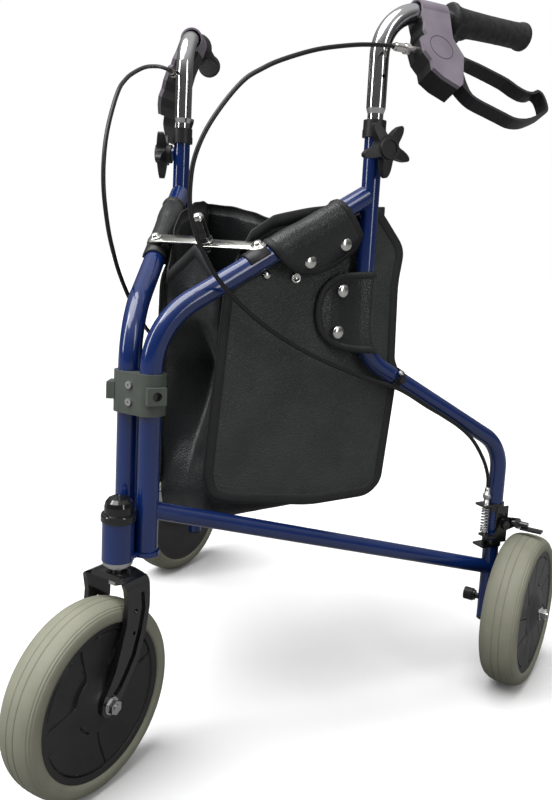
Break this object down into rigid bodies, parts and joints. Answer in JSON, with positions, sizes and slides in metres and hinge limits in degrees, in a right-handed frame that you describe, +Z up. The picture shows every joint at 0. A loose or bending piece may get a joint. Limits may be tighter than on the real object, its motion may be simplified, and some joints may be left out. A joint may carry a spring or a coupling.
{
  "type": "folding three-wheel rollator walker",
  "caption": "Folding three-wheel walking frame with height-adjustable handles, loop brakes on the rear wheels, a swivelling front wheel and a bag between the side frames.",
  "frame": {"origin": "floor point under the middle of the walker's bounding box", "axes": "+Z up, the walker is pushed towards -Y, the user stands on the +Y side, +X is the user's left"},
  "size_m": [0.68, 0.6971, 0.8572],
  "materials": {
    "blue_paint": "gloss",
    "black_paint": "gloss",
    "chrome": "polished",
    "zinc": "satin",
    "black_plastic": "matte",
    "gloss_cap": "gloss",
    "clamp_plastic": "matte",
    "housing_plastic": "matte",
    "grip_rubber": "matte",
    "tyre_grey": "matte",
    "cable_sheath": "satin",
    "bag_cloth": "satin"
  },
  "bodies": {
    "head": {"head_tube": "blue_paint", "head_cap": "gloss_cap", "head_bearing": "zinc", "clamp_front": "clamp_plastic", "clamp_rear": "clamp_plastic", "clamp_screws": "zinc", "bag_body": "bag_cloth"},
    "fork": {"front_fork": "black_paint", "fork_stem": "zinc", "front_axle": "chrome"},
    "front_wheel": {"front_tyre": "tyre_grey", "front_hub": "black_plastic"},
    "left_frame": {"left_front_tube": "blue_paint", "left_rear_tube": "blue_paint", "left_lower_strut": "blue_paint", "left_post_collar": "black_plastic", "left_leg_caps": "black_plastic", "left_bag_panel": "bag_cloth", "left_bag_flaps": "bag_cloth", "left_cable_clip": "black_plastic", "left_brake_bracket": "black_paint", "left_rear_axle": "chrome", "left_brake_cable": "cable_sheath", "left_brake_spring": "zinc", "left_link_bracket": "black_paint"},
    "left_handle": {"left_handle_tube": "chrome", "left_grip": "grip_rubber", "left_lever_housing": "housing_plastic", "left_cable_adjuster": "zinc"},
    "left_lever": {"left_brake_lever": "black_plastic"},
    "left_knob": {"left_star_knob": "black_plastic"},
    "left_wheel": {"left_rear_tyre": "tyre_grey", "left_rear_hub": "black_plastic"},
    "left_brake": {"left_brake_arm": "black_paint"},
    "left_link": {"left_link_bar": "chrome", "fold_nut": "zinc"},
    "right_frame": {"right_front_tube": "blue_paint", "right_rear_tube": "blue_paint", "right_lower_strut": "blue_paint", "right_post_collar": "black_plastic", "right_leg_caps": "black_plastic", "right_bag_panel": "bag_cloth", "right_bag_flaps": "bag_cloth", "right_cable_clip": "black_plastic", "right_brake_bracket": "black_paint", "right_rear_axle": "chrome", "right_brake_cable": "cable_sheath", "right_brake_spring": "zinc", "right_link_bracket": "black_paint"},
    "right_handle": {"right_handle_tube": "chrome", "right_grip": "grip_rubber", "right_lever_housing": "housing_plastic", "right_cable_adjuster": "zinc"},
    "right_lever": {"right_brake_lever": "black_plastic"},
    "right_knob": {"right_star_knob": "black_plastic"},
    "right_wheel": {"right_rear_tyre": "tyre_grey", "right_rear_hub": "black_plastic"},
    "right_brake": {"right_brake_arm": "black_paint"},
    "right_link": {"right_link_bar": "chrome", "fold_knob": "gloss_cap"}
  },
  "joints": [
    {"name": "caster_swivel", "type": "hinge", "parent": "head", "child": "fork", "pos_m": [0, -0.2105, 0.225], "axis": [0, 0, 1], "continuous": true},
    {"name": "front_wheel_spin", "type": "hinge", "parent": "fork", "child": "front_wheel", "pos_m": [0, -0.2485, 0.1], "axis": [1, 0, 0], "continuous": true},
    {"name": "left_fold", "type": "hinge", "parent": "head", "child": "left_frame", "pos_m": [0.015, -0.1835, 0.3], "axis": [0, 0, 1], "range_deg": [0, 24], "deforming": ["bag_body"]},
    {"name": "left_handle_height", "type": "slide", "parent": "left_frame", "child": "left_handle", "axis": [0, 0, 1], "range_m": [0, 0.09], "deforming": ["left_brake_cable"]},
    {"name": "left_lever_squeeze", "type": "hinge", "parent": "left_handle", "child": "left_lever", "pos_m": [0.19061, 0.07572, 0.78756], "axis": [0.77, -0.4321, 0.4695], "range_deg": [0, 12], "stiffness_Nm_per_rad": 0.8, "springref_deg": -8.59},
    {"name": "left_knob_turn", "type": "hinge", "parent": "left_frame", "child": "left_knob", "pos_m": [0.15772, 0.02996, 0.68], "axis": [0.8721, -0.4894, 0], "range_deg": [0, 360]},
    {"name": "left_wheel_spin", "type": "hinge", "parent": "left_frame", "child": "left_wheel", "pos_m": [0.3, 0.24856, 0.1], "axis": [1, 0, 0], "continuous": true},
    {"name": "left_brake_swing", "type": "hinge", "parent": "left_frame", "child": "left_brake", "pos_m": [0.27179, 0.24345, 0.212], "axis": [0.8721, -0.4894, 0], "range_deg": [-12, 0], "deforming": ["left_brake_spring"]},
    {"name": "left_link_swing", "type": "hinge", "parent": "left_frame", "child": "left_link", "pos_m": [0.07177, -0.08234, 0.572], "axis": [0, 0, 1], "range_deg": [0, 45]},
    {"name": "right_fold", "type": "hinge", "parent": "head", "child": "right_frame", "pos_m": [-0.015, -0.1835, 0.3], "axis": [0, 0, 1], "range_deg": [-24, 0]},
    {"name": "right_handle_height", "type": "slide", "parent": "right_frame", "child": "right_handle", "axis": [0, 0, 1], "range_m": [0, 0.09], "deforming": ["right_brake_cable"]},
    {"name": "right_lever_squeeze", "type": "hinge", "parent": "right_handle", "child": "right_lever", "pos_m": [-0.18359, 0.07966, 0.78405], "axis": [0.8246, 0.4627, -0.3256], "range_deg": [0, 12], "stiffness_Nm_per_rad": 0.8, "springref_deg": -8.59},
    {"name": "right_knob_turn", "type": "hinge", "parent": "right_frame", "child": "right_knob", "pos_m": [-0.15772, 0.02996, 0.68], "axis": [-0.8721, -0.4894, 0], "range_deg": [0, 360]},
    {"name": "right_wheel_spin", "type": "hinge", "parent": "right_frame", "child": "right_wheel", "pos_m": [-0.3, 0.24856, 0.1], "axis": [1, 0, 0], "continuous": true},
    {"name": "right_brake_swing", "type": "hinge", "parent": "right_frame", "child": "right_brake", "pos_m": [-0.27179, 0.24345, 0.212], "axis": [0.8721, 0.4894, 0], "range_deg": [-12, 0], "deforming": ["right_brake_spring"]},
    {"name": "right_link_swing", "type": "hinge", "parent": "right_frame", "child": "right_link", "pos_m": [-0.07177, -0.08234, 0.572], "axis": [0, 0, 1], "range_deg": [-45, 0]}
  ],
  "couplings": [
    {"joint": "left_link_swing", "follows": "left_fold", "ratio": 1.875},
    {"joint": "left_brake_swing", "follows": "left_lever_squeeze", "ratio": -1},
    {"joint": "right_fold", "follows": "left_fold", "ratio": -1},
    {"joint": "right_link_swing", "follows": "left_fold", "ratio": -1.875},
    {"joint": "right_brake_swing", "follows": "right_lever_squeeze", "ratio": -1}
  ]
}
